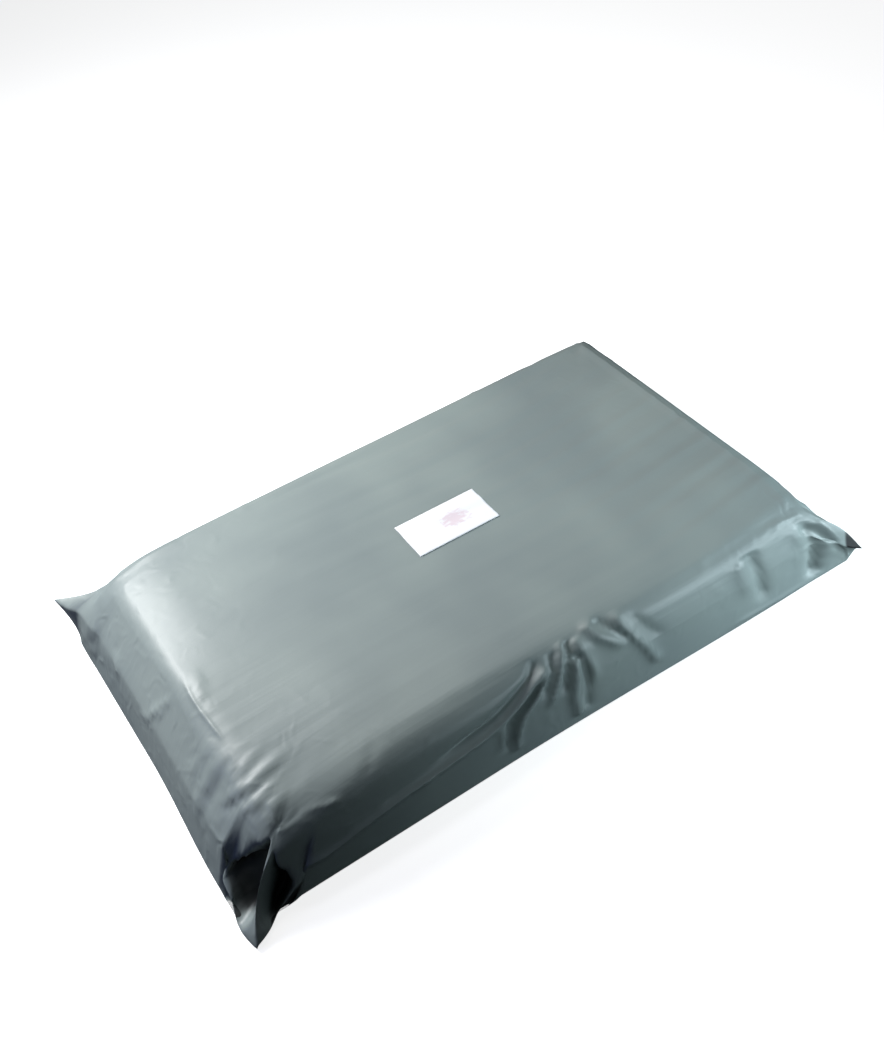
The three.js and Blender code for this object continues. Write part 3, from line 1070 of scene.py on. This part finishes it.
    def panels(self) -> tuple[Sheet, Array]:
        """Lays out both film panels as grids that share their welded rim.

        Returns:
            The points of the film, and the faces between them.
        """
        along = self.lines(self.goods.top_length / 2, self.length_steps, self.crowding)
        across = self.lines(self.goods.top_width / 2, self.width_steps, 0.0)
        s, t = np.meshgrid(along, across, indexing="ij")
        top = np.arange(s.size).reshape(s.shape)
        inside = np.zeros(s.shape, bool)
        inside[1:-1, 1:-1] = True
        bottom = top.copy()
        bottom[inside] = s.size + np.arange(inside.sum())
        faces = []
        for grid, upward in ((top, True), (bottom, False)):
            quads = grid_faces(grid)
            faces.append(quads if upward else quads[:, ::-1])
        side = np.concatenate([np.ones(s.size), -np.ones(inside.sum())])
        s_all = np.concatenate([s.ravel(), s[inside]])
        t_all = np.concatenate([t.ravel(), t[inside]])
        return Sheet(s_all, t_all, side, self.goods, self.drop, self.root), np.vstack(faces)

    def lift(self, sheet: Sheet, height: Array) -> Array:
        """Gives how far folds, gathers, ripples, weld line and closing flap lift the film.

        Args:
            sheet: The points of the film.
            height: Height of each point above the floor, where the bottom panel stays flat.

        Returns:
            Lift of each point, in metres.
        """
        forms = [*self.folds, *Crinkles().scatter(self.goods), Ripples()]
        forms += [Puckers(corner) for corner in self.ears]
        lift = sum(form.relief(sheet) for form in forms)
        from_weld = (1 - sheet.down) * self.drop
        weld = self.weld_ridge * np.exp(-((from_weld / self.weld_width) ** 2)) * (1 - sheet.out)
        lift = lift + np.where(sheet.on_side & (sheet.t > 0), weld, 0.0)
        lift *= np.where(sheet.side > 0, 1.0, smooth(height, 0, self.clear_height))
        covered = self.drop - sheet.past_end
        ended = smooth(covered, self.flap_length - self.flap_edge, self.flap_length)
        flap = smooth(covered, 0, self.flap_lip) * (1 - ended)
        on_right = (sheet.side < 0) & (sheet.s > 0) & (sheet.past_end > sheet.past_side)
        return lift + self.flap_step * flap * on_right

    def build(self) -> Object:
        """Builds the bag's mesh.

        Returns:
            The bag, in the frame of the whole part.
        """
        sheet, faces = self.panels()
        points = self.wrap(sheet)
        lift = self.lift(sheet, points[:, 2])
        points = points + vertex_normals(points, faces) * lift[:, None]
        on_ear = smooth(sheet.out, *self.settle_out) * smooth(sheet.down, *self.settle_down)
        on_ear = on_ear * (1 - self.tip_hold * smooth(sheet.out, *self.tip_out))
        points = relax(points, faces, self.settle_share * on_ear, self.settling)
        points[:, 2] = np.maximum(points[:, 2], 0)
        points += np.array(self.centre)
        bag = make_object("film_bag", points, faces, np.stack([sheet.s, sheet.t], -1))
        # The near-black share carries painted shade in the cupped hollow and on the fin, and one
        # ear's dark tip; slack drives the fine creases
        for name, values in (("painted_shade_and_dark_tip", sheet.inner), ("slack", Slack().at(sheet))):
            marks = bag.data.attributes.new(name, "FLOAT", "POINT")
            marks.data.foreach_set("value", values.astype(np.float32))
        length, width = np.ptp(sheet.s) / MM, np.ptp(sheet.t) / MM
        log.info("film_bag: %d faces, flat sheet %.0f by %.0f mm", len(faces), length, width)
        return bag

    def dress(self, bag: Object) -> None:
        """Gives the bag its film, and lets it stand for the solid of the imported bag.

        Args:
            bag: The bag's mesh.
        """
        bag.data.materials.append(BlownFilm("polythene_blown_grey").material())
        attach(bag, "root")
        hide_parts("mailer_bag")


@dataclass
class AddressLabel:
    """A sheet label that lies on the film of the top face."""

    bag: FilmBag
    length: float = 63.5 * MM
    width: float = 33.9 * MM
    place: Pair = (3 * MM, 12.3 * MM)
    turn: float = -1.0
    gap: float = 0.3 * MM
    thickness: float = 0.25 * MM
    steps: tuple[int, int] = (64, 34)

    def build(self) -> Object:
        """Builds the label as a thin closed sheet that follows the film.

        Returns:
            The label, in the frame of the whole part.
        """
        u, v = np.meshgrid(np.linspace(-0.5, 0.5, self.steps[0] + 1),
                           np.linspace(-0.5, 0.5, self.steps[1] + 1), indexing="ij")
        turn = math.radians(self.turn)
        s = self.place[0] + u * self.length * math.cos(turn) - v * self.width * math.sin(turn)
        t = self.place[1] + u * self.length * math.sin(turn) + v * self.width * math.cos(turn)
        ones = np.ones(u.size)
        sheet = Sheet(s.ravel(), t.ravel(), ones, self.bag.goods, self.bag.drop, self.bag.root)
        face = self.bag.wrap(sheet)
        face[:, 2] += Ripples().relief(sheet) + self.gap
        top = face + np.array([0, 0, self.thickness])
        grid = np.arange(u.size).reshape(u.shape)
        quads = grid_faces(grid)
        rim = np.concatenate([grid[:, 0], grid[-1, 1:], grid[-2::-1, -1], grid[0, -2:0:-1]])
        after = np.roll(rim, -1)
        edge = np.stack([rim, after, after + u.size, rim + u.size], -1)
        faces = np.vstack([quads[:, ::-1], quads + u.size, edge])
        points = np.vstack([face, top]) + np.array(self.bag.centre)
        flat = np.stack([u.ravel() + 0.5, v.ravel() + 0.5], -1)
        label = make_object("paper_label", points, faces, np.vstack([flat, flat]))
        log.info("paper_label: %.1f by %.1f mm", self.length / MM, self.width / MM)
        return label

    def dress(self, label: Object) -> None:
        """Gives the label its paper, and lets it stand for the label's solid.

        Args:
            label: The label's mesh.
        """
        label.data.materials.append(LabelPaper("paper_uncoated_white").material())
        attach(label, "root")
        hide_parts("address_label")


@dataclass(frozen=True)
class Lamp:
    """A soft lamp aimed at the parcel: a lit rectangle, or a spot whose cone fades to its edge.

    A spot has a cone in degrees, and its size is its radius, twice.
    """

    name: str
    place: Place
    size: Pair
    power: float
    colour: str = "#ffffff"
    target: Place = (0.0, 0.0, 0.03)
    cone: float = 0.0

    def build(self) -> None:
        """Puts the lamp in the scene."""
        light = bpy.data.lights.new(self.name, "SPOT" if self.cone else "AREA")
        light.energy = self.power
        light.color = linear(self.colour)[:3]
        if self.cone:
            light.spot_size = math.radians(self.cone)
            light.spot_blend = 1.0
            light.shadow_soft_size = self.size[0]
        else:
            light.shape = "RECTANGLE"
            light.size, light.size_y = self.size
        thing = bpy.data.objects.new(self.name, light)
        thing.location = self.place
        ahead = Vector(self.target) - Vector(self.place)
        thing.rotation_euler = ahead.to_track_quat("-Z", "Y").to_euler()
        bpy.context.scene.collection.objects.link(thing)


@dataclass
class Studio:
    """Pale floor, soft lamps and the camera at the picture's viewing angle."""

    centre: Vector
    picture: tuple[int, int] = (884, 1063)
    focal_pixels: float = 1187.4
    sensor: float = 36.0
    eye: Place = (-281.1 * MM, -486.6 * MM, 635.7 * MM)
    yaw: float = 29.25
    pitch: float = 45.03
    roll: float = -6.45
    floor_half: float = 6.0
    floor_colour: str = "#e9ebec"
    bounce_colour: str = "#1c1d20"
    floor_glow: float = 0.82
    world_colour: str = "#dfe6ea"
    world_strength: float = 0.027
    white: str = "#ffffff"
    lamps: tuple[Lamp, ...] = (
        Lamp("window_back_left", (-0.36, 0.48, 0.55), (0.34, 0.34), 8.9),
        Lamp("panel_left", (-0.95, 0.15, 0.45), (0.5, 0.5), 1.0, "#a4b2ff"),
        Lamp("panel_over", (0.02, 0.04, 0.50), (0.16, 0.08), 0.30),
        Lamp("spot_front_right", (0.55, -0.95, 0.26), (0.19, 0.19), 35.0, "#e4f7ff",
             (0.31, -0.13, 0.03), 49.0),
        Lamp("spot_side_right", (0.66, -0.42, 0.20), (0.08, 0.08), 14.0, "#e4f7ff",
             (0.24, -0.13, 0.03), 34.0),
    )

    def build(self) -> None:
        """Builds the floor, the lamps, the world and the camera."""
        self.build_floor()
        for lamp in self.lamps:
            lamp.build()
        self.build_world()
        self.build_camera()
        log.info("studio: %d lamps", len(self.lamps))

    def build_floor(self) -> None:
        """Lays a plain floor that is white to the camera and keeps the parcel's shadow."""
        half = self.floor_half
        corners = np.array([(-half, -half, 0), (half, -half, 0), (half, half, 0), (-half, half, 0)])
        floor = make_object("floor", corners, np.array([[0, 1, 2, 3]]), corners[:, :2])
        # Matt board gives the eye an even white with a soft shadow. Only the camera sees it glow,
        # so the glow lights nothing, and what it throws back on the parcel is dim.
        material, tree, output = blank_material("matt_studio_floor")
        plain = add(tree, "BsdfDiffuse", {"Color": linear(self.floor_colour)})
        glow = add(tree, "Emission", {
            "Color": linear(self.white), "Strength": self.floor_glow})
        seen = add(tree, "AddShader", {0: plain.outputs[0], 1: glow.outputs[0]})
        bounce = add(tree, "BsdfDiffuse", {"Color": linear(self.bounce_colour)})
        ray = add(tree, "LightPath").outputs["Is Camera Ray"]
        shader = add(tree, "MixShader", {
            0: ray, 1: bounce.outputs[0], 2: seen.outputs[0]})
        tree.links.new(shader.outputs[0], output.inputs["Surface"])
        floor.data.materials.append(material)

    def build_world(self) -> None:
        """Makes a world that is white to the camera and a dim even light to the parcel."""
        world = bpy.data.worlds.new("studio_world")
        bpy.context.scene.world = world
        world.use_nodes = True
        tree = world.node_tree
        tree.nodes.clear()
        output = add(tree, "OutputWorld")
        dim = add(tree, "Background", {
            "Color": linear(self.world_colour), "Strength": self.world_strength})
        white = add(tree, "Background", {"Color": linear(self.white), "Strength": 1.0})
        ray = add(tree, "LightPath").outputs["Is Camera Ray"]
        shader = add(tree, "MixShader", {0: ray, 1: dim.outputs[0], 2: white.outputs[0]})
        tree.links.new(shader.outputs[0], output.inputs["Surface"])

    def build_camera(self) -> None:
        """Puts the camera where the picture was taken from."""
        yaw, pitch, roll = (math.radians(a) for a in (self.yaw, self.pitch, self.roll))
        flat = math.cos(pitch)
        ahead = Vector((math.sin(yaw) * flat, math.cos(yaw) * flat, -math.sin(pitch)))
        level = Vector((math.cos(yaw), -math.sin(yaw), 0))
        above = level.cross(ahead)
        right = level * math.cos(roll) + above * math.sin(roll)
        up = above * math.cos(roll) - level * math.sin(roll)
        camera = bpy.data.cameras.new("camera")
        camera.sensor_width = self.sensor
        camera.lens = self.focal_pixels / max(self.picture) * self.sensor
        thing = bpy.data.objects.new("camera", camera)
        turn = Matrix((right, up, -ahead)).transposed().to_4x4()
        thing.matrix_world = Matrix.Translation(Vector(self.eye) + self.centre) @ turn
        bpy.context.scene.collection.objects.link(thing)
        bpy.context.scene.camera = thing


def goods_centre(place: Pair) -> Vector:
    """Finds the middle of the goods on the floor, from where the label's solid lies.

    Args:
        place: Middle of the label, from the middle of the goods.

    Returns:
        The middle of the goods in the frame of the whole part.
    """
    low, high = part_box("address_label")
    middle = (low + high) / 2
    return Vector((middle.x - place[0], middle.y - place[1], 0))


def main() -> None:
    """Builds and dresses the parcel and its studio."""
    logging.basicConfig(level=logging.INFO, format="%(name)s %(message)s")
    centre = goods_centre(AddressLabel.place)
    bag = FilmBag(centre)
    bag.dress(bag.build())
    label = AddressLabel(bag)
    label.dress(label.build())
    Studio(centre).build()
    bpy.context.scene.view_settings.view_transform = "Standard"


if __name__ == "__main__":
    main()
